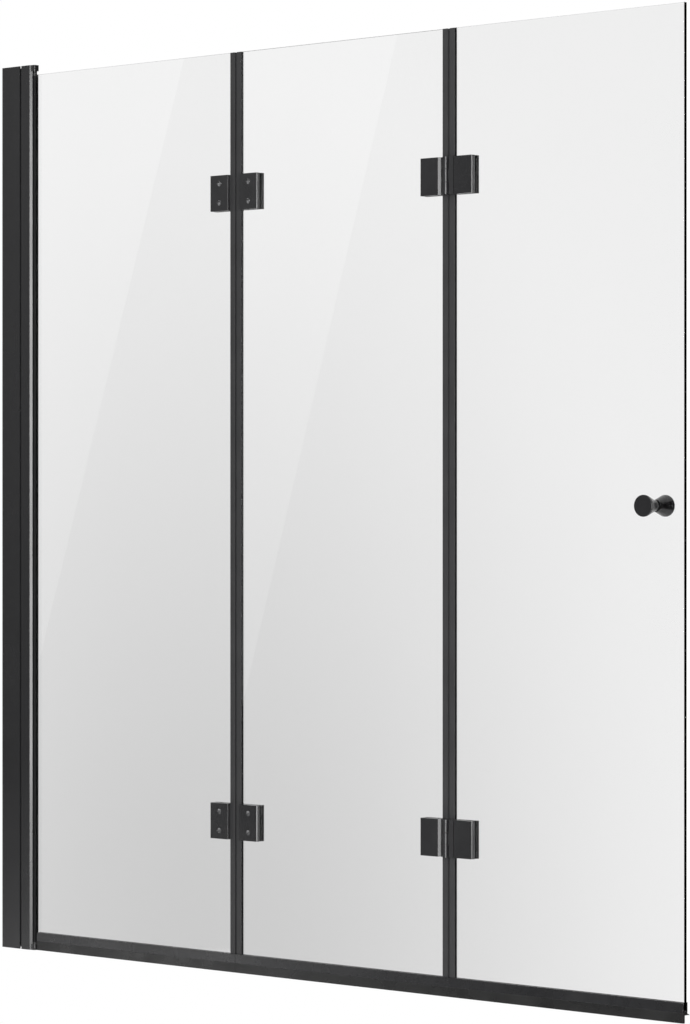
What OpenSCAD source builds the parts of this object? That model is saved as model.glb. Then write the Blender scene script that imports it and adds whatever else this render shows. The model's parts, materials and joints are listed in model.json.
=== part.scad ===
// Three-panel folding bath screen with black fittings.
// X runs from the wall face to the free edge, Y = 0 is the middle of the glass with -Y
// towards the viewer, and Z runs up from the foot of the wall channel. Millimetres.

/* [Screen] */
// Width from the wall face to the free edge
screen_w = 1300; // [1200:5:1400]
// Height of the wall channel with its brackets
screen_h = 1400; // [1200:5:1500]
// Pitch of the middle panel, from joint to joint
panel_2_w = 406; // [380:2:430]
// Width of the outer panel, from its joint to the free edge
panel_3_w = 404; // [380:2:430]

/* [Glass] */
// Thickness of the toughened glass
glass_t = 6; // [5:1:6]
// Radius of the glass holes that the hinge screws pass
glass_hole_r = 5; // [4.5:0.1:6]

/* [Wall channel] */
// Width of the channel's side, away from the wall
channel_w = 39; // [34:1:41]
// Depth of the channel, from its front to its back
channel_d = 22; // [22:0.5:24]
// Wall of the channel
channel_t = 2; // [1.6:0.1:2]
// Radius of the wall screw holes
wall_hole_r = 2.6; // [2:0.1:3]
// Distance between the outer wall screw holes
wall_hole_pitch = 1200; // [900:50:1200]

/* [Wall post] */
// Where the wide head of the post starts, from the wall
post_head_x = 42.5; // [41.5:0.5:46]
// Width of the post's front flange
post_head_w = 21.7; // [19:0.1:21.7]
// Bevel of the post's front corner
post_bevel = 3.2; // [2:0.1:3.4]
// Wall of the post
post_t = 1.8; // [1.4:0.1:2]
// Play between post and channel on each side
post_play = 0.4; // [0.3:0.1:0.6]
// Depth of the post inside the channel's width, at its wall end
post_tail_x = 10; // [6:1:20]
// Height of the top and bottom brackets
bracket_h = 9.5; // [8:0.5:11]
// Gap between the top bracket and the top edge of the glass
top_gap = 5.5; // [3:0.5:10]
// Metal around the pivot pin in the brackets
pivot_wall = 1.7; // [1.4:0.1:1.7]

/* [Wall pivot] */
// Pivot axis in front of the middle of the glass
pivot_y = -6; // [-6.4:0.1:-5.8]
// Pivot axis beyond the edge of the post's flange
pivot_gap_x = 3; // [3:0.1:3.5]
// Radius of the pivot pins
pivot_pin_r = 1.5; // [1.3:0.1:1.6]
// Radius of the round bead on the pivot profile
bead_r = 2.6; // [2.4:0.1:2.6]
// Height of the thrust washer under the first panel
thrust_h = 1; // [0.6:0.1:1.5]
// Height of the end plugs in the pivot profile
plug_h = 2; // [1.5:0.5:3]
// Wall of the pivot profile
profile_t = 1.4; // [1.2:0.1:1.6]
// Thickness of the glazing gasket
gasket_t = 0.8; // [0.6:0.1:1]
// Overlap of the pivot profile on the glass
profile_grip = 8; // [7:0.5:8]

/* [Joint seals] */
// Width of each upright seal on the glass
seal_w = 9; // [8:0.5:10]
// Wall of the seal beside the glass
seal_side_t = 1; // [0.8:0.1:1.2]
// Web of the seal in front of the glass edge
seal_web_t = 1.6; // [1.2:0.1:2]
// Gap between the two seals of a joint
joint_gap = 4; // [3:0.5:5]
// Thickness of the soft lip in the gap
lip_t = 1.2; // [0.8:0.1:2]

/* [Bottom rails] */
// Height of the rail's top edge
rail_top = 28; // [26:0.5:32]
// Height of the drip strip below the rail
drip_h = 14; // [12:0.5:15]
// Thickness of the rail
rail_d = 11; // [10.6:0.1:11.4]
// Thickness of the drip strip
drip_d = 10.2; // [9.6:0.1:10.5]
// Wall of the rail beside the glass
rail_t = 1.7; // [1.4:0.1:1.8]
// Gap between the rails at a joint
rail_gap = 0.5; // [0.4:0.1:2]
// Reach of the drip fin behind the middle of the glass
fin_reach = 10.6; // [8:0.1:10.6]
// Thickness of the drip fin
fin_t = 1.2; // [1:0.1:1.6]

/* [Hinges] */
// Height of a hinge
hinge_h = 54; // [46:1:60]
// Width of each hinge plate
plate_w = 36; // [32:1:40]
// Distance from the joint to a plate's inner edge
plate_in = 11; // [10:0.5:12]
// Thickness of the clamp plates
plate_t = 5.5; // [4.5:0.1:6]
// Thickness of the knuckle leaves
leaf_t = 6.4; // [5.6:0.1:6.6]
// Thickness of the soft pads between metal and glass
pad_t = 1; // [0.8:0.1:1.1]
// Distance of the fold axis from the middle of the glass
fold_axis_y = 11; // [11:0.1:12]
// Radius of the knuckle barrel
knuckle_r = 4.4; // [4:0.1:4.4]
// Radius of the hinge pin
hinge_pin_r = 2.4; // [2:0.1:2.6]
// Thickness of the washers between the knuckles
washer_t = 0.8; // [0.5:0.1:1]
// Height of the lower hinges' middle
hinge_low_z = 227; // [200:1:300]
// Drop of the upper hinges' middle below the top of the glass
hinge_high_drop = 211; // [180:1:300]
// Distance between the two screws of a plate
screw_pitch = 29; // [24:1:30]
// Radius of the hinge screws
screw_r = 2.5; // [2:0.1:3]
// Radius of the screw heads
screw_head_r = 3.9; // [3.4:0.1:4.2]
// Height of the screw heads
screw_head_h = 2.4; // [2:0.1:2.8]
// Bevel on the inner edge of the knuckle leaves
leaf_bevel = 3.4; // [2:0.1:3.6]
// Bevel on the outer edges of the plates
edge_bevel = 1; // [0.5:0.1:1.6]

/* [Knob] */
// Distance of the knob from the free edge
knob_in = 50; // [40:1:80]
// Height of the knob
knob_z = 702; // [600:1:900]
// Radius of the knob's flat end
knob_r = 15; // [12:0.5:16]
// Radius of the knob at the glass
knob_neck_r = 8.5; // [7:0.5:11]
// Length of each half of the knob
knob_l = 25; // [22:0.5:26]
// Radius of the stud that joins the knob's halves
stud_r = 3; // [2.5:0.1:3.5]

/* [Hidden] */
$fn = 48;

BLACK = [0.05, 0.05, 0.052];
RUBBER = [0.09, 0.09, 0.09];
STEEL = [0.55, 0.55, 0.56];
GLASS = [0.78, 0.85, 0.85, 0.35];

half_glass = glass_t / 2;
fit = 0.05;                                   // radial play of pins and screws
joint_2_x = screen_w - panel_3_w;
joint_1_x = joint_2_x - panel_2_w;
glass_top = screen_h - bracket_h - top_gap;
front_y = -channel_d / 2;
tube_y = channel_d / 2 - channel_t - post_play;
flange_x = post_head_x + post_head_w;         // right edge of the post's front flange
pivot_x = flange_x + pivot_gap_x;
slot_y = half_glass + gasket_t;               // inner face of the pivot profile
profile_y = slot_y + profile_t;
profile_x1 = pivot_x + 0.2;                   // edge of the profile on the glass
glass_x0 = profile_x1 - profile_grip;         // wall-side edge of the first pane
profile_x0 = glass_x0 - gasket_t - profile_t;
tube_x1 = profile_x0 - 1.2;                   // end of the post's tube
lip_y = front_y + post_bevel + 0.8;           // inner face of the flange's rim
bracket_top = screen_h - bracket_h;
profile_z0 = bracket_h + thrust_h + plug_h;
glass_z0 = drip_h + 4;                        // glass stands on the rail's base
bead_bore_r = pivot_pin_r + 0.3;
seal_y = half_glass + seal_side_t;
pad_y = half_glass + pad_t;
hinge_high_z = glass_top - hinge_high_drop;
knuckle_h = (hinge_h - 2 * washer_t) / 3;
screw_x = plate_in + plate_w / 2;
knob_x = screen_w - knob_in;
nose_r = pivot_pin_r + pivot_wall;
rail_x0 = pivot_x + nose_r + 0.4;

// Box from two corners
module span(a, b) {
    translate(a) cube(b - a);
}

// Upright profile with its section drawn in X and Y
module upright(z0, z1) {
    translate([0, 0, z0]) linear_extrude(height = z1 - z0) children();
}

// Level profile with its section drawn as [Y, Z]
module level(x0, x1) {
    translate([x0, 0, 0]) rotate([90, 0, 90]) linear_extrude(height = x1 - x0) children();
}

// Rod along Y from y0 to y1
module rod_y(x, y0, y1, z, r1, r2) {
    translate([x, y0, z]) rotate([-90, 0, 0]) cylinder(r1 = r1, r2 = r2, h = y1 - y0);
}

// ---- Wall frame ----

module wall_channel() {
    color(BLACK) difference() {
        span([0, front_y, 0], [channel_w, -front_y, screen_h]);
        span([channel_t, front_y + channel_t, -1],
            [channel_w + 1, -front_y - channel_t, screen_h + 1]);
        for (dz = [-0.5, 0, 0.5])
            translate([-1, 0, screen_h / 2 + dz * wall_hole_pitch])
                rotate([0, 90, 0]) cylinder(r = wall_hole_r, h = channel_t + 2);
        lock_places() lock_screw(lock_r + 0.05, lock_head_r + 0.05, 0.01);
    }
}

lock_r = 1.7;
lock_head_r = 3.4;
lock_x = channel_w - 11;
lock_end = 140;                               // from each end of the channel
lock_rise = 60;                               // middle lock screw above the middle wall hole

module lock_places() {
    for (z = [lock_end, screen_h / 2 + lock_rise, screen_h - lock_end])
        translate([lock_x, 0, z]) children();
}

// Countersunk screw through the channel's back side into the post
module lock_screw(r, head_r, over) {
    y1 = channel_d / 2;
    rod_y(0, tube_y - post_t - 2, y1, 0, r, r);
    rod_y(0, y1 - (head_r - r), y1 + over, 0, r, head_r);
}

module post_lock_screws() {
    color(STEEL) lock_places() difference() {
        lock_screw(lock_r, lock_head_r, 0);
        rod_y(0, channel_d / 2 - 1.2, channel_d / 2 + 1, 0, 1.3, 1.3, $fn = 6);
    }
}

port_x = post_head_x + 6.5;
port_y = 4.4;
port_r = 3.4;
bracket_screw_r = 1.6;
bracket_head_r = 3;
bracket_head_h = 2.4;
bracket_head_z = 0.4;                         // head lies this far inside the bracket
bracket_screw_l = 18.5;

// Outline of the post's head, shared by the brackets
module head_outline() {
    polygon([
        [post_head_x, front_y], [flange_x - post_bevel, front_y],
        [flange_x, front_y + post_bevel], [flange_x, lip_y],
        [flange_x - 1.6, lip_y], [flange_x - 3.2, -tube_y],
        [tube_x1, -tube_y], [tube_x1, channel_d / 2], [post_head_x, channel_d / 2]
    ]);
}

module wall_post() {
    color(BLACK) difference() {
        post_bar();
        lock_places() lock_screw(lock_r + 0.05, lock_r + 0.05, 1);
    }
}

module post_bar() {
    upright(bracket_h, bracket_top) difference() {
        union() {
            difference() {
                union() {
                    head_outline();
                    translate([post_tail_x, -tube_y])
                        square([tube_x1 - post_tail_x, 2 * tube_y]);
                }
                translate([post_tail_x + post_t, -tube_y + post_t])
                    square([tube_x1 - post_tail_x - 2 * post_t, 2 * (tube_y - post_t)]);
            }
            for (s = [-1, 1]) translate([port_x, s * port_y]) circle(r = port_r);
        }
        for (s = [-1, 1]) translate([port_x, s * port_y]) circle(r = bracket_screw_r + fit);
    }
}

// Bracket that closes the post and carries a pivot pin
module bracket_body() {
    upright(0, bracket_h) difference() {
        union() {
            head_outline();
            translate([tube_x1 - 1, -tube_y]) square([flange_x - tube_x1, tube_y]);
            translate([flange_x - post_bevel, pivot_y - nose_r])
                square([pivot_x - flange_x + post_bevel, nose_r - pivot_y]);
            translate([pivot_x - 1, pivot_y]) square([nose_r + 1, -pivot_y]);
            translate([pivot_x, pivot_y]) circle(r = nose_r);
        }
        translate([pivot_x, pivot_y]) circle(r = pivot_pin_r + 0.02);
    }
}

module bracket_screw_holes() {
    for (s = [-1, 1]) translate([port_x, s * port_y, -1]) {
        cylinder(r = bracket_screw_r + 0.1, h = bracket_h + 2);
        cylinder(r = bracket_head_r + 0.1, h = 1 + bracket_head_z + bracket_head_h);
    }
}

module bottom_bracket() {
    color(BLACK) difference() {
        bracket_body();
        bracket_screw_holes();
    }
}

module top_bracket() {
    color(BLACK) translate([0, 0, screen_h]) mirror([0, 0, 1]) difference() {
        bracket_body();
        bracket_screw_holes();
    }
}

module bracket_screw() {
    difference() {
        union() {
            translate([0, 0, bracket_head_z]) cylinder(r = bracket_head_r, h = bracket_head_h);
            translate([0, 0, bracket_head_z + 1])
                cylinder(r = bracket_screw_r, h = bracket_head_h - 1 + bracket_screw_l);
        }
        translate([0, 0, -1]) cylinder(r = 1.5, h = 2.6, $fn = 6);
    }
}

module bracket_screws() {
    color(STEEL) for (s = [-1, 1]) {
        translate([port_x, s * port_y, 0]) bracket_screw();
        translate([port_x, s * port_y, screen_h]) mirror([0, 0, 1]) bracket_screw();
    }
}

// Soft strip behind the flange that the first panel closes on
module post_seal() {
    color(RUBBER) upright(bracket_h, bracket_top)
        polygon([
            [tube_x1 + 0.4, -tube_y], [flange_x - 3.3, -tube_y], [flange_x - 2.2, lip_y],
            [flange_x - 2.6, -profile_y - 0.3], [tube_x1 + 1.6, -profile_y - 0.3]
        ]);
}

module pivot_pins() {
    reach = 8;
    color(STEEL) {
        translate([pivot_x, pivot_y, 1]) cylinder(r = pivot_pin_r, h = profile_z0 + reach - 1);
        translate([pivot_x, pivot_y, glass_top - plug_h - reach])
            cylinder(r = pivot_pin_r, h = screen_h - 1 - (glass_top - plug_h - reach));
    }
}

module thrust_washer() {
    color(BLACK) translate([pivot_x, pivot_y, bracket_h]) difference() {
        cylinder(r = bead_r + 0.4, h = thrust_h);
        translate([0, 0, -1]) cylinder(r = pivot_pin_r + fit, h = thrust_h + 2);
    }
}

// ---- First panel's pivot profile ----

module profile_outline() {
    translate([profile_x0, -profile_y]) square([profile_x1 - profile_x0, 2 * profile_y]);
    translate([pivot_x, pivot_y]) circle(r = bead_r);
}

module panel_1_profile() {
    color(BLACK) upright(profile_z0, glass_top - plug_h) difference() {
        profile_outline();
        translate([profile_x0 + profile_t, -slot_y])
            square([2 * profile_grip, 2 * slot_y]);
        translate([pivot_x, pivot_y]) circle(r = bead_bore_r);
    }
}

module panel_1_glazing_gasket() {
    color(RUBBER) upright(glass_z0, glass_top - plug_h) difference() {
        translate([glass_x0 - gasket_t, -slot_y])
            square([profile_x1 - glass_x0 + gasket_t, 2 * slot_y]);
        translate([glass_x0, -half_glass]) square([profile_grip + 1, glass_t]);
    }
}

// Plugs on the two ends of the pivot profile, each with a bearing for its pin
module panel_1_plugs() {
    color(RUBBER) {
        upright(bracket_h + thrust_h, profile_z0) plug_outline();
        upright(glass_top - plug_h, glass_top) difference() {
            plug_outline();
            translate([glass_x0 - 0.2, -half_glass - 0.1])
                square([2 * profile_grip, glass_t + 0.2]);
        }
    }
}

module plug_outline() {
    difference() {
        profile_outline();
        translate([pivot_x, pivot_y]) circle(r = pivot_pin_r + fit);
    }
}

// ---- Glass ----

// Pane with the holes of the hinges at its joints and of the knob
module pane(x0, x1, joints, with_knob = false) {
    color(GLASS) difference() {
        span([x0, -half_glass, glass_z0], [x1, half_glass, glass_top]);
        for (j = joints, z = [hinge_low_z, hinge_high_z], dz = [-0.5, 0.5])
            rod_y(j, -half_glass - 1, half_glass + 1, z + dz * screw_pitch,
                glass_hole_r, glass_hole_r);
        if (with_knob)
            rod_y(knob_x, -half_glass - 1, half_glass + 1, knob_z, stud_r + 2, stud_r + 2);
    }
}

seal_in_1 = joint_1_x - joint_gap / 2;        // outer faces of the four joint seals
seal_out_1 = joint_1_x + joint_gap / 2;
seal_in_2 = joint_2_x - joint_gap / 2;
seal_out_2 = joint_2_x + joint_gap / 2;

module glass_1() {
    pane(glass_x0, seal_in_1 - seal_web_t, [joint_1_x - screw_x]);
}

module glass_2() {
    pane(seal_out_1 + seal_web_t, seal_in_2 - seal_web_t, [joint_1_x + screw_x, joint_2_x - screw_x]);
}

module glass_3() {
    pane(seal_out_2 + seal_web_t, screen_w, [joint_2_x + screw_x], true);
}

// ---- Joint seals ----

lip_play = 0.4;

// Seal on an edge of glass: x is its outer face, and dir points away from its glass
module joint_seal(x, dir, lip) {
    color(RUBBER) upright(rail_top, glass_top) translate([x, 0]) mirror([dir > 0 ? 0 : 1, 0]) {
        difference() {
            translate([-seal_w, -seal_y]) square([seal_w, 2 * seal_y]);
            translate([-seal_w - 1, -half_glass]) square([seal_w + 1 - seal_web_t, glass_t]);
        }
        if (lip) translate([-1, -lip_t / 2]) square([1 + joint_gap - lip_play, lip_t]);
    }
}

module joint_seal_1() {
    joint_seal(seal_in_1, 1, true);
}

module joint_seal_2_in() {
    joint_seal(seal_out_1, -1, false);
}

module joint_seal_2_out() {
    joint_seal(seal_in_2, 1, true);
}

module joint_seal_3() {
    joint_seal(seal_out_2, -1, false);
}

// ---- Bottom rails ----

rib_w = 3;
rib_h = 2.2;
head_h = 3.4;                                 // thick top of the drip strip
blade_t = 4;                                  // blade of the drip strip
rail_sill = 1.5;                              // ledges that hold the glass in the rail
rail_grip = 3;

module rail(x0, x1) {
    color(BLACK) level(x0, x1) difference() {
        translate([-rail_d / 2, drip_h]) square([rail_d, rail_top - drip_h]);
        translate([-half_glass - 0.02, glass_z0]) square([glass_t + 0.04, rail_top]);
        translate([-rail_d / 2 + rail_t, glass_z0 + rail_sill])
            square([rail_d - 2 * rail_t, rail_top - glass_z0 - rail_sill - rail_grip]);
        translate([-rib_w / 2 - 0.05, drip_h - 1]) square([rib_w + 0.1, rib_h + 1.2]);
    }
}

// Soft strip in the rail's underside: a blade at the front and a fin that sheds water at
// the back
module drip_seal(x0, x1) {
    y0 = -drip_d / 2;
    y1 = drip_d / 2;
    z_head = drip_h - head_h;
    color(RUBBER) level(x0, x1) polygon([
        [y0, 0], [y0 + blade_t, 0], [y0 + blade_t, z_head], [y1, z_head],
        [fin_reach, z_head - 0.8], [fin_reach, z_head - 0.8 + fin_t / 2], [y1, z_head + 2 * fin_t],
        [y1, drip_h], [rib_w / 2, drip_h], [rib_w / 2, drip_h + rib_h],
        [-rib_w / 2, drip_h + rib_h], [-rib_w / 2, drip_h], [y0, drip_h]
    ]);
}

rail_1_x1 = joint_1_x - rail_gap / 2;
rail_2_x0 = joint_1_x + rail_gap / 2;
rail_2_x1 = joint_2_x - rail_gap / 2;
rail_3_x0 = joint_2_x + rail_gap / 2;

module rail_1() {
    rail(rail_x0, rail_1_x1);
}

module rail_2() {
    rail(rail_2_x0, rail_2_x1);
}

module rail_3() {
    rail(rail_3_x0, screen_w);
}

module drip_seal_1() {
    drip_seal(rail_x0, rail_1_x1);
}

module drip_seal_2() {
    drip_seal(rail_2_x0, rail_2_x1);
}

module drip_seal_3() {
    drip_seal(rail_3_x0, screen_w);
}

// ---- Hinges ----
// A hinge half is drawn for the panel on the +X side of a joint at X = 0, with its knuckle
// at +Y. The joint's other half and the joint with its knuckle at -Y are mirror images.

module place_half(jx, z, dir, side) {
    translate([jx, 0, z]) mirror([dir > 0 ? 0 : 1, 0, 0]) mirror([0, side > 0 ? 0 : 1, 0])
        children();
}

module screw_places() {
    for (dz = [-0.5, 0.5]) translate([screw_x, 0, dz * screw_pitch]) children();
}

leaf_y1 = pad_y + leaf_t;
knuckle_gap = 0.35;                           // play between a web and the other half's knuckle
knuckle_play = 0.05;                          // play of each knuckle on its washer

// Heights of the knuckles that a half holds
function knuckle_z(in_half) = in_half
    ? [-1.5 * knuckle_h - washer_t, 0.5 * knuckle_h + washer_t]
    : [-0.5 * knuckle_h];

module web_outline() {
    polygon([
        [0, fold_axis_y - knuckle_r + 0.2], [plate_in + 2, pad_y + 0.6],
        [plate_in + 2, leaf_y1 - leaf_bevel], [plate_in, leaf_y1 - leaf_bevel],
        [knuckle_r - 1, fold_axis_y - 1.8], [0, fold_axis_y - 1.8]
    ]);
}

module leaf(in_half) {
    color(BLACK) difference() {
        union() {
            upright(-hinge_h / 2, hinge_h / 2) {
                polygon([
                    [plate_in, pad_y], [plate_in + plate_w, pad_y],
                    [plate_in + plate_w, leaf_y1 - edge_bevel],
                    [plate_in + plate_w - edge_bevel, leaf_y1],
                    [plate_in + leaf_bevel, leaf_y1], [plate_in, leaf_y1 - leaf_bevel]
                ]);
                difference() {
                    web_outline();
                    translate([0, fold_axis_y]) circle(r = knuckle_r + knuckle_gap);
                }
            }
            for (z = knuckle_z(in_half)) upright(z + knuckle_play, z + knuckle_h - knuckle_play) {
                web_outline();
                translate([0, fold_axis_y]) circle(r = knuckle_r);
            }
        }
        screw_places() rod_y(0, pad_y - 1, leaf_y1 - 1.4, 0, screw_r, screw_r);
        translate([0, fold_axis_y, -hinge_h]) cylinder(r = hinge_pin_r + fit, h = 2 * hinge_h);
    }
}

module clamp_plate() {
    y1 = -pad_y - plate_t;
    color(BLACK) difference() {
        upright(-hinge_h / 2, hinge_h / 2) polygon([
            [plate_in, -pad_y], [plate_in + plate_w, -pad_y],
            [plate_in + plate_w, y1 + edge_bevel], [plate_in + plate_w - edge_bevel, y1],
            [plate_in + edge_bevel / 2, y1], [plate_in, y1 + edge_bevel / 2]
        ]);
        screw_places() {
            rod_y(0, y1 - 1, -pad_y + 1, 0, screw_r + 0.2, screw_r + 0.2);
            rod_y(0, y1 - 1, y1 + screw_head_h + 0.2, 0,
                screw_head_r + 0.15, screw_head_r + 0.15);
        }
    }
}

// The pad on the leaf's side has a collar that keeps each screw off the glass
module pad_pair() {
    difference() {
        union() {
            span([plate_in, half_glass, -hinge_h / 2], [plate_in + plate_w, pad_y, hinge_h / 2]);
            screw_places() rod_y(0, -half_glass + 0.2, half_glass + 0.5, 0,
                glass_hole_r - 0.1, glass_hole_r - 0.1);
        }
        screw_places() rod_y(0, -half_glass - 1, pad_y + 1, 0, screw_r + fit, screw_r + fit);
    }
    difference() {
        span([plate_in, -pad_y, -hinge_h / 2], [plate_in + plate_w, -half_glass, hinge_h / 2]);
        screw_places() rod_y(0, -pad_y - 1, -half_glass + 1, 0, screw_r + fit, screw_r + fit);
    }
}

module hinge_screw() {
    y1 = -pad_y - plate_t;
    difference() {
        union() {
            rod_y(0, y1 + 0.2, y1 + 0.2 + screw_head_h, 0, screw_head_r, screw_head_r);
            rod_y(0, y1 + 0.2 + screw_head_h, pad_y + leaf_t - 2, 0, screw_r - fit, screw_r - fit);
        }
        rod_y(0, y1 - 1, y1 + 1.6, 0, 1.7, 1.7, $fn = 6);
    }
}

module hinge_pin(jx, z, side) {
    color(STEEL) translate([jx, side * fold_axis_y, z - hinge_h / 2 + 0.2])
        cylinder(r = hinge_pin_r, h = hinge_h - 0.4);
}

module hinge_washers(jx, side) {
    color(BLACK) for (z = [hinge_low_z, hinge_high_z], s = [-1, 1])
        translate([jx, side * fold_axis_y, z + s * (knuckle_h + washer_t) / 2 - washer_t / 2])
            difference() {
                cylinder(r = knuckle_r - 0.2, h = washer_t);
                translate([0, 0, -1]) cylinder(r = hinge_pin_r + fit, h = washer_t + 2);
            }
}

module half_pads(jx, dir, side) {
    color(RUBBER) for (z = [hinge_low_z, hinge_high_z]) place_half(jx, z, dir, side) pad_pair();
}

module half_screws(jx, dir, side) {
    color(STEEL) for (z = [hinge_low_z, hinge_high_z])
        place_half(jx, z, dir, side) screw_places() hinge_screw();
}

// ---- Knob ----

knob_washer_t = 1;
knob_bore_l = 16;                             // bore in each half
stud_in = 14;                                 // stud's reach into each half

module knob_half(side) {
    y0 = half_glass + knob_washer_t;
    color(BLACK) mirror([0, side > 0 ? 0 : 1, 0]) translate([knob_x, y0, knob_z]) rotate([-90, 0, 0])
        rotate_extrude($fn = 96) polygon([
            [stud_r + fit, 0], [knob_neck_r, 0], [knob_neck_r, 1.5],
            [knob_r, knob_l - 3], [knob_r, knob_l - 0.8], [knob_r - 0.8, knob_l],
            [0, knob_l], [0, knob_bore_l], [stud_r + fit, knob_bore_l]
        ]);
}

module knob_front() {
    knob_half(-1);
}

module knob_back() {
    knob_half(1);
}

module knob_stud() {
    reach = half_glass + knob_washer_t + stud_in;
    color(STEEL) rod_y(knob_x, -reach, reach, knob_z, stud_r, stud_r);
}

module knob_washers() {
    color(RUBBER) for (side = [-1, 1]) mirror([0, side > 0 ? 0 : 1, 0]) difference() {
        rod_y(knob_x, half_glass, half_glass + knob_washer_t, knob_z,
            knob_neck_r - 0.3, knob_neck_r - 0.3);
        rod_y(knob_x, 0, half_glass + 2, knob_z, stud_r + fit, stud_r + fit);
    }
}

wall_channel();
wall_post();
top_bracket();
bottom_bracket();
bracket_screws();
post_lock_screws();
post_seal();
pivot_pins();
thrust_washer();

panel_1_profile();
panel_1_glazing_gasket();
panel_1_plugs();
glass_1();
rail_1();
drip_seal_1();
joint_seal_1();

place_half(joint_1_x, hinge_high_z, -1, 1) leaf(true);  // hinge_1_upper_leaf_in
place_half(joint_1_x, hinge_low_z, -1, 1) leaf(true);  // hinge_1_lower_leaf_in
hinge_pin(joint_1_x, hinge_high_z, 1);  // hinge_1_upper_pin
hinge_pin(joint_1_x, hinge_low_z, 1);  // hinge_1_lower_pin
hinge_washers(joint_1_x, 1);  // hinge_1_washers
place_half(joint_1_x, hinge_high_z, -1, 1) clamp_plate();  // hinge_1_upper_plate_in
place_half(joint_1_x, hinge_low_z, -1, 1) clamp_plate();  // hinge_1_lower_plate_in
half_pads(joint_1_x, -1, 1);  // panel_1_hinge_pads
half_screws(joint_1_x, -1, 1);  // panel_1_hinge_screws

glass_2();
rail_2();
drip_seal_2();
joint_seal_2_in();
joint_seal_2_out();
place_half(joint_1_x, hinge_high_z, 1, 1) leaf(false);  // hinge_1_upper_leaf_out
place_half(joint_1_x, hinge_low_z, 1, 1) leaf(false);  // hinge_1_lower_leaf_out
place_half(joint_1_x, hinge_high_z, 1, 1) clamp_plate();  // hinge_1_upper_plate_out
place_half(joint_1_x, hinge_low_z, 1, 1) clamp_plate();  // hinge_1_lower_plate_out
place_half(joint_2_x, hinge_high_z, -1, -1) leaf(true);  // hinge_2_upper_leaf_in
place_half(joint_2_x, hinge_low_z, -1, -1) leaf(true);  // hinge_2_lower_leaf_in
hinge_pin(joint_2_x, hinge_high_z, -1);  // hinge_2_upper_pin
hinge_pin(joint_2_x, hinge_low_z, -1);  // hinge_2_lower_pin
hinge_washers(joint_2_x, -1);  // hinge_2_washers
place_half(joint_2_x, hinge_high_z, -1, -1) clamp_plate();  // hinge_2_upper_plate_in
place_half(joint_2_x, hinge_low_z, -1, -1) clamp_plate();  // hinge_2_lower_plate_in
union() {  // panel_2_hinge_pads
    half_pads(joint_1_x, 1, 1);
    half_pads(joint_2_x, -1, -1);
}
union() {  // panel_2_hinge_screws
    half_screws(joint_1_x, 1, 1);
    half_screws(joint_2_x, -1, -1);
}

glass_3();
rail_3();
drip_seal_3();
joint_seal_3();
place_half(joint_2_x, hinge_high_z, 1, -1) leaf(false);  // hinge_2_upper_leaf_out
place_half(joint_2_x, hinge_low_z, 1, -1) leaf(false);  // hinge_2_lower_leaf_out
place_half(joint_2_x, hinge_high_z, 1, -1) clamp_plate();  // hinge_2_upper_plate_out
place_half(joint_2_x, hinge_low_z, 1, -1) clamp_plate();  // hinge_2_lower_plate_out
half_pads(joint_2_x, 1, -1);  // panel_3_hinge_pads
half_screws(joint_2_x, 1, -1);  // panel_3_hinge_screws
knob_front();
knob_back();
knob_stud();
knob_washers();
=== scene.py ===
import json
import math

import bmesh
import bpy
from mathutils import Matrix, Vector


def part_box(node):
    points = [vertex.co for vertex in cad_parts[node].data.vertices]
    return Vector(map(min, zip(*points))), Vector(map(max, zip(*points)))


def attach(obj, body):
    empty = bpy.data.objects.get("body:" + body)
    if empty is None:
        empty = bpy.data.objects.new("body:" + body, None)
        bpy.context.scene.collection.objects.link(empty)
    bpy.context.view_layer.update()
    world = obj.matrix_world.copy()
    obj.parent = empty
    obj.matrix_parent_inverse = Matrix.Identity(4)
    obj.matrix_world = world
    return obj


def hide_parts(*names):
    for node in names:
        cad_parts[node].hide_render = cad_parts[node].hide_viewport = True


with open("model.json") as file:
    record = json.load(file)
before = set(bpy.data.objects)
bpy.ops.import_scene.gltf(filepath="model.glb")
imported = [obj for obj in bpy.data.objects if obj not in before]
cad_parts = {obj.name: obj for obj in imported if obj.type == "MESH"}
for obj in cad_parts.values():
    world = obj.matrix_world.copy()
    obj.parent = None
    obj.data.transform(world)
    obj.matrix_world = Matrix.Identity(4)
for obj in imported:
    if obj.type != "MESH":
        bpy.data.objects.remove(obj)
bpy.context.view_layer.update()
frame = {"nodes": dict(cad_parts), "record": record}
scene = bpy.context.scene
nodes = frame["nodes"]
record = frame["record"]
body_of_node = {n: b for b, names in record["behaviour"]["bodies"].items() for n in names}
slot_of_node = {s["node"]: s["material_slot"] for s in record["subparts"]}

# ---- Steps that several node trees share ----


def feed(tree, socket, value):
    """Links another socket to this one, or sets a plain value on it."""
    if isinstance(value, bpy.types.NodeSocket):
        tree.links.new(value, socket)
    else:
        socket.default_value = value


def scaled(tree, value, low, high, bottom, top, smooth=False):
    """Value mapped from low..high to bottom..top and held between them."""
    node = tree.nodes.new("ShaderNodeMapRange")
    if smooth:
        node.interpolation_type = "SMOOTHSTEP"
    for key, number in (("From Min", low), ("From Max", high), ("To Min", bottom), ("To Max", top)):
        node.inputs[key].default_value = number
    tree.links.new(value, node.inputs["Value"])
    return node.outputs["Result"]


def maths(tree, operation, first, second=None, clamp=False):
    """Result of one Math node. Each side is a socket or a number."""
    node = tree.nodes.new("ShaderNodeMath")
    node.operation = operation
    node.use_clamp = clamp
    feed(tree, node.inputs[0], first)
    if second is not None:
        feed(tree, node.inputs[1], second)
    return node.outputs[0]


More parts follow.
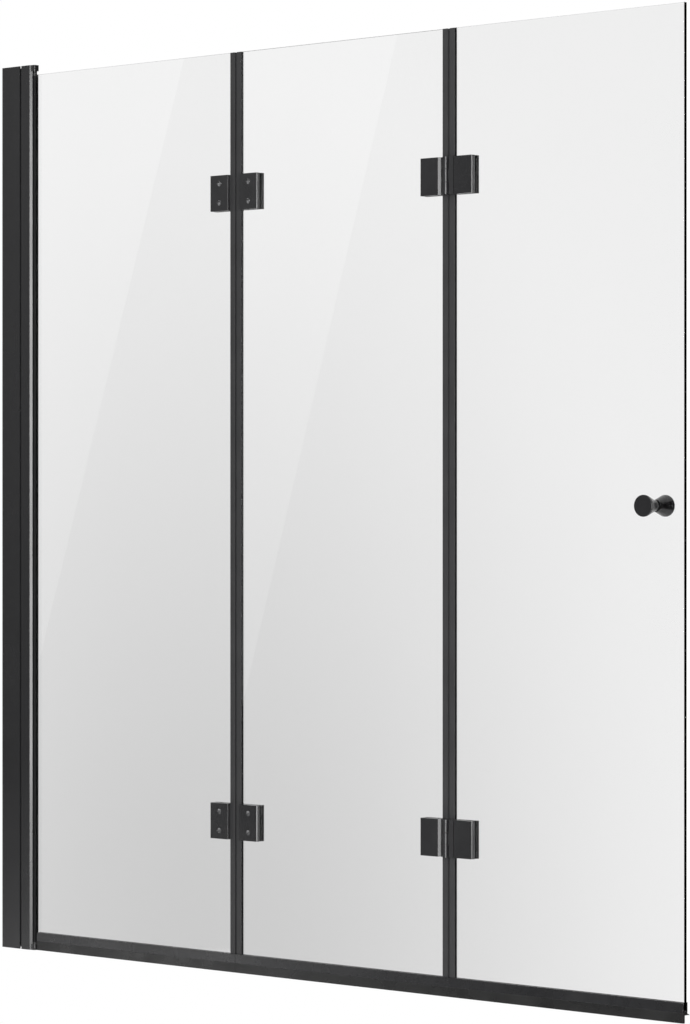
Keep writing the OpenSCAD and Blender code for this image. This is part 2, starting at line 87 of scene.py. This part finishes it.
def vector_maths(tree, operation, first, second=None):
    """Vector, length or distance from one Vector Math node."""
    node = tree.nodes.new("ShaderNodeVectorMath")
    node.operation = operation
    feed(tree, node.inputs[0], first)
    if second is not None:
        feed(tree, node.inputs[1], second)
    return node.outputs["Value" if operation in ("LENGTH", "DISTANCE") else "Vector"]


# ---- Camera, lights and floor ----

FLOOR_Z = -0.55          # the bath's rim stands about this high over the bathroom floor
FLOOR_RADIUS = 3.0
FLOOR_FADE = (1.4, 2.9)  # distances between which the floor fades out
FLOOR_GLOW = 0.42        # lifts the floor to the white of the surroundings where it is seen
MIDDLE = Vector((0.65, 0.0, 0.7))

# The photo's camera, fitted to the edges of the glass
CAMERA_AT = (3.938, -3.904, 0.6975)
CAMERA_TURN = 39.67      # degrees about the upright
CAMERA_DIP = 0.048       # degrees below level
LENS = 121.56            # mm, for a picture 36 mm high

WORLD_LIGHT = 0.34       # strength of the surroundings where they only light
PAINTED_SHADE_WAY = (-0.668, 0.737, -0.145)   # where the painted shade, a soft grey behind the glass, lies, as a direction
PAINTED_SHADE_SHAPE = (1.8, 1.8, 1)           # makes it narrower across than up
PAINTED_SHADE_REACH = 0.3
PAINTED_SHADE_LEVELS = (0.65, 0.98)           # in its middle and beyond its reach


def side_of(azimuth, distance, height):
    """Point at that distance from the screen's middle, on the side that azimuth is seen from."""
    a = math.radians(azimuth)
    return Vector((MIDDLE.x + distance * math.sin(a), MIDDLE.y - distance * math.cos(a), height))


def place_camera():
    """Camera with the photo's view."""
    data = bpy.data.cameras.new("Camera")
    data.sensor_width = 36
    data.lens = LENS
    data.clip_end = 60
    camera = bpy.data.objects.new("Camera", data)
    camera.location = CAMERA_AT
    camera.rotation_euler = (math.radians(90 - CAMERA_DIP), 0, math.radians(CAMERA_TURN))
    scene.collection.objects.link(camera)
    scene.camera = camera


def softbox(name, azimuth, distance, height, width, tall, watts):
    """Rectangular lamp that faces the screen's middle and shows only in reflections."""
    data = bpy.data.lights.new(name, "AREA")
    data.shape = "RECTANGLE"
    data.size = width
    data.size_y = tall
    data.energy = watts
    lamp = bpy.data.objects.new(name, data)
    lamp.location = side_of(azimuth, distance, height)
    aim = MIDDLE - lamp.location
    lamp.rotation_euler = aim.to_track_quat("-Z", "Y").to_euler()
    lamp.visible_camera = False
    lamp.visible_transmission = False
    scene.collection.objects.link(lamp)


def upright(left, right, low, high):
    """Corners of an upright rectangle."""
    return [(left, low), (right, low), (right, high), (left, high)]


def card(name, azimuth, distance, corners, tone):
    """Card that only reflections see. Its corners are (across, up) from its middle, which stands
    at the height of the screen's middle."""
    middle = side_of(azimuth, distance, MIDDLE.z)
    a = math.radians(azimuth)
    across = Vector((math.cos(a), math.sin(a), 0))
    mesh = bpy.data.meshes.new(name)
    mesh.from_pydata([middle + across * x + Vector((0, 0, z)) for x, z in corners], [],
                     [tuple(range(len(corners)))])
    board = bpy.data.objects.new(name, mesh)
    paint = bpy.data.materials.new(name)
    paint.use_nodes = True
    shader = paint.node_tree.nodes["Principled BSDF"]
    shader.inputs["Base Color"].default_value = (0, 0, 0, 1)
    shader.inputs["Specular IOR Level"].default_value = 0
    shader.inputs["Emission Color"].default_value = (1, 1, 1, 1)
    shader.inputs["Emission Strength"].default_value = tone
    mesh.materials.append(paint)
    for ray in ("camera", "diffuse", "transmission", "shadow", "volume_scatter"):
        setattr(board, "visible_" + ray, False)
    scene.collection.objects.link(board)


def seen_directly(tree):
    """1 for camera, glossy and transmission rays, 0 for the others."""
    path = tree.nodes.new("ShaderNodeLightPath")
    total = path.outputs["Is Camera Ray"]
    for ray in ("Is Glossy Ray", "Is Transmission Ray"):
        total = maths(tree, "ADD", total, path.outputs[ray], clamp=True)
    return total


def white_surroundings():
    """World that is white where it is seen. To rays through the glass it carries a painted shade, a
    soft grey low at the back left."""
    world = bpy.data.worlds.new("Studio")
    scene.world = world
    world.use_nodes = True
    tree = world.node_tree
    background = tree.nodes["Background"]
    background.inputs["Color"].default_value = (1, 1, 1, 1)
    strength = scaled(tree, seen_directly(tree), 0, 1, WORLD_LIGHT, 1)
    # painted shade: to rays through the glass the backdrop turns grey towards one direction
    path = tree.nodes.new("ShaderNodeLightPath")
    way = tree.nodes.new("ShaderNodeTexCoord")
    away = vector_maths(tree, "SUBTRACT", way.outputs["Generated"], PAINTED_SHADE_WAY)
    shaped = vector_maths(tree, "MULTIPLY", away, PAINTED_SHADE_SHAPE)
    reach = vector_maths(tree, "LENGTH", shaped)
    grey = scaled(tree, reach, 0, PAINTED_SHADE_REACH, *PAINTED_SHADE_LEVELS, smooth=True)
    through = tree.nodes.new("ShaderNodeMix")
    through.inputs["A"].default_value = 1
    tree.links.new(path.outputs["Is Transmission Ray"], through.inputs["Factor"])
    tree.links.new(grey, through.inputs["B"])
    level = maths(tree, "MULTIPLY", strength, through.outputs["Result"])
    tree.links.new(level, background.inputs["Strength"])


def pale_floor():
    """Pale round floor that fades into the white surroundings at its rim."""
    bm = bmesh.new()
    bmesh.ops.create_circle(bm, cap_ends=True, segments=96, radius=FLOOR_RADIUS)
    bmesh.ops.translate(bm, verts=bm.verts, vec=(MIDDLE.x, MIDDLE.y, FLOOR_Z))
    mesh = bpy.data.meshes.new("Floor")
    bm.to_mesh(mesh)
    bm.free()
    floor = bpy.data.objects.new("Floor", mesh)
    scene.collection.objects.link(floor)
    pale = bpy.data.materials.new("Floor white")
    pale.use_nodes = True
    tree = pale.node_tree
    shader = tree.nodes["Principled BSDF"]
    shader.inputs["Base Color"].default_value = (0.9, 0.9, 0.9, 1)
    shader.inputs["Roughness"].default_value = 0.9
    shader.inputs["Emission Color"].default_value = (1, 1, 1, 1)
    glow = maths(tree, "MULTIPLY", seen_directly(tree), FLOOR_GLOW)
    tree.links.new(glow, shader.inputs["Emission Strength"])
    spot = tree.nodes.new("ShaderNodeNewGeometry")
    reach = vector_maths(tree, "DISTANCE", spot.outputs["Position"], (MIDDLE.x, MIDDLE.y, FLOOR_Z))
    tree.links.new(scaled(tree, reach, *FLOOR_FADE, 1, 0, smooth=True), shader.inputs["Alpha"])
    mesh.materials.append(pale)


scene.view_settings.view_transform = "Standard"
place_camera()
white_surroundings()
pale_floor()
softbox("Softbox by the camera", 46.7, 4.56, 0.75, 1.5, 2.4, 185)
softbox("Softbox overhead", 10, 3.2, 3.6, 2.4, 1.6, 25)
card("Card at the back right", 140, 3.2, upright(-1.6, 0.8, -2, 2.4), 0.0)
# Cards that the front mirrors. They meet where the joints see them, and two have a slanting edge
LEFT = (-40, 4.5)
POST_END, JOINT_1, JOINT_2 = -0.80, -0.238, 0.354
card("Card for the wall post", *LEFT, upright(-4.5, POST_END, -3, 3), 0.3)
card("Card for the first pane", *LEFT, [(-0.972, -1.222), (JOINT_1, -1.222), (JOINT_1, 1.83)], 0.3)
card("Light card below the first pane", *LEFT, upright(POST_END, JOINT_1, -3, -1.235), 4.5)
card("Card for the second pane", *LEFT,
     [(JOINT_1, -3), (JOINT_2, -3), (JOINT_2, 1.92), (JOINT_1, -0.64)], 0.3)
card("Card for the third pane", *LEFT, upright(JOINT_2, 3, -3, 3), 0.15)
card("Card at the right", 98, 3.6, upright(-1.6, 2.2, -2, 2.4), 0.0)

# ---- Effects that several finishes share ----


def effect(name, inputs, outputs):
    """Empty shader node group with its named sockets, and its end nodes."""
    tree = bpy.data.node_groups.new(name, "ShaderNodeTree")
    for socket, kind, value in inputs:
        made = tree.interface.new_socket(name=socket, in_out="INPUT", socket_type=kind)
        made.default_value = value
    for socket, kind in outputs:
        tree.interface.new_socket(name=socket, in_out="OUTPUT", socket_type=kind)
    return tree, tree.nodes.new("NodeGroupInput"), tree.nodes.new("NodeGroupOutput")


def on_piece(tree):
    """Place on the piece, in its own coordinates."""
    return tree.nodes.new("ShaderNodeTexCoord").outputs["Object"]


def clouds(tree, place, scale, detail, roughness=0.5):
    """Soft noise at that place. The scale is a socket or a number."""
    noise = tree.nodes.new("ShaderNodeTexNoise")
    noise.inputs["Detail"].default_value = detail
    noise.inputs["Roughness"].default_value = roughness
    feed(tree, noise.inputs["Scale"], scale)
    tree.links.new(place, noise.inputs["Vector"])
    return noise.outputs["Fac"]


def powder_grain():
    """Orange-peel skin of a powder coat: fine height, and slow drifts of tone."""
    tree, given, result = effect(
        "Powder grain",
        [("Peel Scale", "NodeSocketFloat", 700), ("Drift Scale", "NodeSocketFloat", 5)],
        [("Height", "NodeSocketFloat"), ("Drift", "NodeSocketFloat")])
    place = on_piece(tree)
    for socket, scale, detail in (("Height", "Peel Scale", 3), ("Drift", "Drift Scale", 2)):
        noise = clouds(tree, place, given.outputs[scale], detail, 0.55)
        tree.links.new(noise, result.inputs[socket])
    return tree


def patchy(tree, given, result, spot, scale, detail):
    """Puts out the mask of those spots, broken up by clouds and times the amount."""
    broken = maths(tree, "MULTIPLY", spot, clouds(tree, on_piece(tree), scale, detail))
    mask = maths(tree, "MULTIPLY", broken, given.outputs["Amount"], clamp=True)
    tree.links.new(mask, result.inputs["Mask"])


def rubbed_edges():
    """Mask of the outer edges that hands and towels rub."""
    tree, given, result = effect(
        "Rubbed edges", [("Amount", "NodeSocketFloat", 0.5)], [("Mask", "NodeSocketFloat")])
    shape = tree.nodes.new("ShaderNodeNewGeometry")
    edge = scaled(tree, shape.outputs["Pointiness"], 0.52, 0.68, 0, 1)
    patchy(tree, given, result, edge, 60, 4)
    return tree


def settled_dust():
    """Mask of thin dust on faces that look up."""
    tree, given, result = effect(
        "Settled dust", [("Amount", "NodeSocketFloat", 0.3)], [("Mask", "NodeSocketFloat")])
    shape = tree.nodes.new("ShaderNodeNewGeometry")
    split = tree.nodes.new("ShaderNodeSeparateXYZ")
    tree.links.new(shape.outputs["Normal"], split.inputs[0])
    up = scaled(tree, split.outputs["Z"], 0.4, 1, 0, 1)
    patchy(tree, given, result, up, 35, 5)
    return tree


def drawn_lines():
    """Fine lines along the length of a drawn or turned metal part."""
    tree, given, result = effect(
        "Drawn lines", [("Stretch", "NodeSocketVector", (900, 900, 12))],
        [("Height", "NodeSocketFloat")])
    place = vector_maths(tree, "MULTIPLY", on_piece(tree), given.outputs["Stretch"])
    tree.links.new(clouds(tree, place, 1, 3), result.inputs["Height"])
    return tree


def turned_rings(x, z):
    """Rings that a lathe leaves about the knob's axis."""
    tree, given, result = effect(
        "Turned rings", [("Pitch", "NodeSocketFloat", 2600)], [("Height", "NodeSocketFloat")])
    offset = vector_maths(tree, "SUBTRACT", on_piece(tree), (x, 0, z))
    radius = vector_maths(tree, "LENGTH", vector_maths(tree, "MULTIPLY", offset, (1, 0, 1)))
    wave = maths(tree, "SINE", maths(tree, "MULTIPLY", radius, given.outputs["Pitch"]))
    tree.links.new(wave, result.inputs["Height"])
    return tree


POWDER = powder_grain()
RUBBED = rubbed_edges()
DUST = settled_dust()
DRAWN = drawn_lines()
knob_low, knob_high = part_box("knob_front")
KNOB_X = (knob_low.x + knob_high.x) / 2
KNOB_Z = (knob_low.z + knob_high.z) / 2
RINGS = turned_rings(KNOB_X, KNOB_Z)

# ---- Finishes ----

WORN_GREY = (0.16, 0.16, 0.165)      # powder coat where hands rub it
WORN_KNOB = (0.14, 0.14, 0.145)
RUBBED_STEEL_AND_GLINT = (0.8, 0.8, 0.81)
DUST_GREY = (0.3, 0.3, 0.29)
BLOOM_GREY = (0.28, 0.28, 0.27)      # what lies on rubber and vinyl
# How the drawn lines are stretched, for pieces that lie along Y or stand along Z
ALONG_Y = (900, 60, 900)
ALONG_Z = (900, 900, 12)


def finish(name, roughness):
    """Material with one Principled BSDF."""
    material = bpy.data.materials.new(name)
    material.use_nodes = True
    shader = material.node_tree.nodes["Principled BSDF"]
    shader.inputs["Roughness"].default_value = roughness
    return material, material.node_tree, shader


def use(tree, group, **values):
    """Places a shared effect in a material, with its own values."""
    node = tree.nodes.new("ShaderNodeGroup")
    node.node_tree = group
    for key, value in values.items():
        node.inputs[key.replace("_", " ")].default_value = value
    return node


def blend_colour(tree, mask, below, above):
    """Colour that goes from below to above with the mask."""
    mix = tree.nodes.new("ShaderNodeMix")
    mix.data_type = "RGBA"
    tree.links.new(mask, mix.inputs["Factor"])
    for socket, colour in ((mix.inputs["A"], below), (mix.inputs["B"], above)):
        plain = not isinstance(colour, bpy.types.NodeSocket)
        feed(tree, socket, (*colour, 1) if plain else colour)
    return mix.outputs["Result"]


def vary_roughness(tree, shader, noise, low, high):
    """Roughness that goes from low to high where the noise goes from 0.3 to 0.7."""
    tree.links.new(scaled(tree, noise, 0.3, 0.7, low, high), shader.inputs["Roughness"])


def raise_skin(tree, shader, height, depth, distance=0.0002):
    """Fine relief of the surface, too small to be shaped."""
    bump = tree.nodes.new("ShaderNodeBump")
    bump.inputs["Strength"].default_value = depth
    bump.inputs["Distance"].default_value = distance
    tree.links.new(height, bump.inputs["Height"])
    tree.links.new(bump.outputs["Normal"], shader.inputs["Normal"])


def powder_coat(name, dark, light, roughness, rub=0.25, dust=0.25, peel=700, depth=0.12,
                gloss=0.5):
    """Black powder coat, rubbed to grey at its outer edges, with dust on what looks up."""
    material, tree, shader = finish(name, roughness)
    shader.inputs["Specular IOR Level"].default_value = gloss
    grain = use(tree, POWDER, Peel_Scale=peel)
    colour = blend_colour(tree, grain.outputs["Drift"], dark, light)
    edges = use(tree, RUBBED, Amount=rub)
    colour = blend_colour(tree, edges.outputs["Mask"], colour, WORN_GREY)
    laid = use(tree, DUST, Amount=dust)
    colour = blend_colour(tree, laid.outputs["Mask"], colour, DUST_GREY)
    tree.links.new(colour, shader.inputs["Base Color"])
    vary_roughness(tree, shader, grain.outputs["Drift"], roughness - 0.05, roughness + 0.07)
    raise_skin(tree, shader, grain.outputs["Height"], depth)
    return material


def soft_black(name, dark, light, roughness, dust=0.3):
    """Extruded rubber or soft vinyl, with a bloom that lies on it in clouds."""
    material, tree, shader = finish(name, roughness)
    grain = use(tree, POWDER, Peel_Scale=420, Drift_Scale=18)
    colour = blend_colour(tree, grain.outputs["Drift"], dark, light)
    laid = use(tree, DUST, Amount=dust)
    colour = blend_colour(tree, laid.outputs["Mask"], colour, BLOOM_GREY)
    tree.links.new(colour, shader.inputs["Base Color"])
    vary_roughness(tree, shader, grain.outputs["Drift"], roughness - 0.08, roughness + 0.08)
    raise_skin(tree, shader, grain.outputs["Height"], 0.1)
    return material


def stainless(name, stretch):
    """Bright steel with fine lines along the way that it was drawn."""
    material, tree, shader = finish(name, 0.28)
    shader.inputs["Metallic"].default_value = 1
    lines = use(tree, DRAWN, Stretch=stretch)
    colour = blend_colour(tree, lines.outputs["Height"], (0.42, 0.42, 0.43), (0.68, 0.68, 0.7))
    tree.links.new(colour, shader.inputs["Base Color"])
    vary_roughness(tree, shader, lines.outputs["Height"], 0.2, 0.38)
    raise_skin(tree, shader, lines.outputs["Height"], 0.15)
    return material


def blackened_steel(name, dark, light, rub):
    """Blackened steel, a little brighter at its rims, where rubbed bare steel and a painted glint
    lie.
    """
    material, tree, shader = finish(name, 0.2)
    shader.inputs["Metallic"].default_value = 1
    lines = use(tree, DRAWN, Stretch=ALONG_Y)
    colour = blend_colour(tree, lines.outputs["Height"], dark, light)
    # the bright rims are partly rubbed bare steel and partly a painted glint on the screw heads
    edges = use(tree, RUBBED, Amount=rub)
    colour = blend_colour(tree, edges.outputs["Mask"], colour, RUBBED_STEEL_AND_GLINT)
    tree.links.new(colour, shader.inputs["Base Color"])
    vary_roughness(tree, shader, lines.outputs["Height"], 0.14, 0.24)
    return material


def turned_black():
    """Glossy black of the knob, with the rings that the lathe left."""
    material, tree, shader = finish("Knob black", 0.2)
    grain = use(tree, POWDER, Peel_Scale=900, Drift_Scale=30)
    colour = blend_colour(tree, grain.outputs["Drift"], (0.012, 0.012, 0.013), (0.02, 0.02, 0.021))
    edges = use(tree, RUBBED, Amount=0.3)
    colour = blend_colour(tree, edges.outputs["Mask"], colour, WORN_KNOB)
    tree.links.new(colour, shader.inputs["Base Color"])
    vary_roughness(tree, shader, grain.outputs["Drift"], 0.14, 0.24)
    rings = use(tree, RINGS)
    raise_skin(tree, shader, rings.outputs["Height"], 0.06)
    return material


def clear_glass(name, tint):
    """Toughened glass with faint wipe marks in its gloss."""
    material, tree, shader = finish(name, 0.0)
    shader.inputs["Transmission Weight"].default_value = 1
    shader.inputs["IOR"].default_value = 1.5
    grain = use(tree, POWDER, Peel_Scale=3, Drift_Scale=7)
    colour = blend_colour(tree, grain.outputs["Drift"], tint, [c * 1.015 for c in tint])
    tree.links.new(colour, shader.inputs["Base Color"])
    vary_roughness(tree, shader, grain.outputs["Height"], 0.0, 0.02)
    raise_skin(tree, shader, grain.outputs["Height"], 0.004, 0.001)
    return material


FRAME_BLACK = powder_coat("Frame black", (0.008, 0.008, 0.009), (0.014, 0.014, 0.015), 0.24,
                          rub=0.1, depth=0.04)
HINGE_BLACK = powder_coat("Hinge black", (0.007, 0.007, 0.008), (0.012, 0.012, 0.013), 0.27,
                          rub=0.35, peel=900)
# painted shade: the frame's powder coat, made darker and less glossy so that the pivot profile's
# bead looks shaded
PROFILE_BLACK_PAINTED_SHADE = powder_coat("Profile black with painted shade", (0.004, 0.004, 0.0045), (0.008, 0.008, 0.0085), 0.5,
                            rub=0.1, gloss=0.1)
RAIL_BLACK = powder_coat("Rail black", (0.007, 0.007, 0.008), (0.013, 0.013, 0.014), 0.22,
                         dust=0.15)
SEAL_BLACK = soft_black("Seal black", (0.022, 0.022, 0.023), (0.036, 0.036, 0.037), 0.5)
DRIP_BLACK = soft_black("Drip strip black", (0.006, 0.006, 0.006), (0.012, 0.012, 0.012), 0.3,
                        dust=0.1)
PLUG_BLACK = soft_black("Plug black", (0.014, 0.014, 0.014), (0.022, 0.022, 0.022), 0.45)
SCREW_STEEL = stainless("Screw steel", ALONG_Y)
PIN_STEEL = stainless("Pin steel", ALONG_Z)
SCREW_BLACK = blackened_steel("Screw black", (0.22, 0.22, 0.225), (0.30, 0.30, 0.305), 0.1)
PIVOT_BLACK = blackened_steel("Pivot pin black", (0.03, 0.03, 0.031), (0.05, 0.05, 0.051), 0.1)
KNOB_BLACK = turned_black()
GLASS = clear_glass("Clear glass", (0.905, 0.905, 0.905))

# ---- Pieces ----


def is_kind(node, *words):
    """Whether the node's name holds one of the words."""
    return any(w in node for w in words)


def finish_of(node):
    """Finish of a node, from its slot in the record and from its name."""
    slot = slot_of_node[node]
    if slot == "clear_glass":
        return GLASS
    if is_kind(node, "hinge_screws"):
        return SCREW_BLACK
    if is_kind(node, "pivot_pins"):
        return PIVOT_BLACK
    if slot == "steel":
        return PIN_STEEL if is_kind(node, "pin", "stud") else SCREW_STEEL
    if slot == "black_rubber":
        return DRIP_BLACK if is_kind(node, "drip") else SEAL_BLACK
    if slot == "black_plastic":
        return PLUG_BLACK
    if is_kind(node, "leaf", "plate"):
        return HINGE_BLACK
    if is_kind(node, "rail"):
        return RAIL_BLACK
    if is_kind(node, "profile"):
        return PROFILE_BLACK_PAINTED_SHADE
    return FRAME_BLACK


# Radius of the edges that the maker breaks, in metres
FINE_EDGE = 0.0002
EDGE_RADIUS = {
    "wall_channel": 0.0003, "wall_post": 0.0003, "top_bracket": 0.0005, "bottom_bracket": 0.0005,
    "panel_1_profile": 0.0002, "rail": 0.0004, "leaf": 0.0005, "plate": 0.0005,
    "drip_seal": 0.00025, "joint_seal": 0.00025, "post_seal": 0.0002, "glass": 0.0005,
    "screws": 0.0003, "pin": 0.0003,
}


def edge_radius(node):
    """Radius of the first entry that the node's name holds, or else a fine one."""
    found = [r for word, r in EDGE_RADIUS.items() if word in node]
    return found[0] if found else FINE_EDGE


def adopt(piece, node):
    """The piece moves with the node's body and stands for it, and the node is hidden."""
    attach(piece, body_of_node[node])
    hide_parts(node)


WELD = 1e-6                      # vertices nearer than this become one
FLAT = math.radians(0.5)         # faces that turn less than this become one
EDGE_ANGLE = math.radians(30)    # edges that turn more than this are broken
DISH_DEPTH = 0.0008              # of the hinge screws' heads
SOCKET_DEPTHS = (0.001, 0.002)   # the hex socket's floor lies between these under the face
TOUCH = 1e-5                     # vertices this near to the face are on it


def dish_the_heads(bm):
    """Sinks the rims of the hex sockets, so that each hinge screw's head is a shallow dish."""
    face = max(abs(v.co.y) for v in bm.verts)
    for vert in [v for v in bm.verts if face - abs(v.co.y) < TOUCH]:
        depths = [face - abs(e.other_vert(vert).co.y) for e in vert.link_edges]
        if any(SOCKET_DEPTHS[0] < depth < SOCKET_DEPTHS[1] for depth in depths):
            vert.co.y *= (face - DISH_DEPTH) / face


def with_broken_edges(node):
    """The node's shape with the fine radius that its edges have."""
    bm = bmesh.new()
    bm.from_mesh(nodes[node].data)
    bmesh.ops.remove_doubles(bm, verts=bm.verts, dist=WELD)
    if is_kind(node, "hinge_screws"):
        dish_the_heads(bm)
    bmesh.ops.dissolve_limit(bm, angle_limit=FLAT, verts=bm.verts, edges=bm.edges)
    mesh = bpy.data.meshes.new(node + "_shape")
    bm.to_mesh(mesh)
    bm.free()
    # the normals that come with the node would hide the broken edges
    normals = mesh.attributes.get("custom_normal")
    if normals:
        mesh.attributes.remove(normals)
    mesh.shade_smooth()
    mesh.materials.append(finish_of(node))
    piece = bpy.data.objects.new(node + "_finished", mesh)
    scene.collection.objects.link(piece)
    edge = piece.modifiers.new("Broken edges", "BEVEL")
    edge.width = edge_radius(node)
    edge.segments = 2
    edge.limit_method = "ANGLE"
    edge.angle_limit = EDGE_ANGLE
    edge.harden_normals = True
    adopt(piece, node)


# The knob's section: radii as shares, and lengths in metres
NECK = 0.5667            # neck, of the flat end's radius
STUD_HOLE = 0.36         # hole at the glass, of the neck's radius
END_RING = 0.6           # ring on the flat end, of its radius
NECK_BREAK = 0.0003      # broken edge of the neck at the glass
NECK_LENGTH = 0.0015
BAND_LENGTH = 0.003      # straight band and soft rim at the end
SOFT_RIM = 0.0008        # radius of the rim
CONE_STEPS = 14
RIM_STEPS = 8
AROUND = 96


def turned_knob(node, side):
    """Knob half turned from bar: a neck at the glass, a cone and a flat end with a soft rim."""
    low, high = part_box(node)
    end_y = low.y if side < 0 else high.y
    neck_y = high.y if side < 0 else low.y
    long = abs(end_y - neck_y)
    end_r = (high.x - low.x) / 2
    neck_r = end_r * NECK
    cone = long - NECK_LENGTH - BAND_LENGTH
    section = [(0.0, neck_r * STUD_HOLE), (0.0, neck_r - NECK_BREAK), (NECK_BREAK, neck_r)]
    for i in range(CONE_STEPS + 1):
        t = i / CONE_STEPS
        section.append((NECK_LENGTH + t * cone, neck_r + (end_r - neck_r) * t))
    for i in range(1, RIM_STEPS + 1):
        a = math.radians(90 * i / RIM_STEPS)
        section.append((long - SOFT_RIM * (1 - math.sin(a)), end_r - SOFT_RIM * (1 - math.cos(a))))
    section += [(long, end_r * END_RING), (long, 0.0)]
    bm = bmesh.new()
    rings = []
    for along, r in section:
        y = neck_y + side * along
        if r == 0.0:
            rings.append([bm.verts.new((KNOB_X, y, KNOB_Z))])
            continue
        rings.append([bm.verts.new((KNOB_X + r * math.cos(2 * math.pi * k / AROUND), y,
                                    KNOB_Z + r * math.sin(2 * math.pi * k / AROUND)))
                      for k in range(AROUND)])
    for a, b in zip(rings, rings[1:]):
        for k in range(AROUND):
            n = (k + 1) % AROUND
            bm.faces.new([a[k], a[n], b[0]] if len(b) == 1 else [a[k], a[n], b[n], b[k]])
    bmesh.ops.recalc_face_normals(bm, faces=bm.faces)
    mesh = bpy.data.meshes.new(node + "_turned")
    bm.to_mesh(mesh)
    bm.free()
    mesh.shade_smooth()
    mesh.set_sharp_from_angle(angle=math.radians(50))
    mesh.materials.append(KNOB_BLACK)
    knob = bpy.data.objects.new(node + "_turned", mesh)
    scene.collection.objects.link(knob)
    adopt(knob, node)


KNOB_HALVES = {"knob_front": -1, "knob_back": 1}
for node in sorted(nodes):
    if node not in KNOB_HALVES:
        with_broken_edges(node)
for node, side in KNOB_HALVES.items():
    turned_knob(node, side)
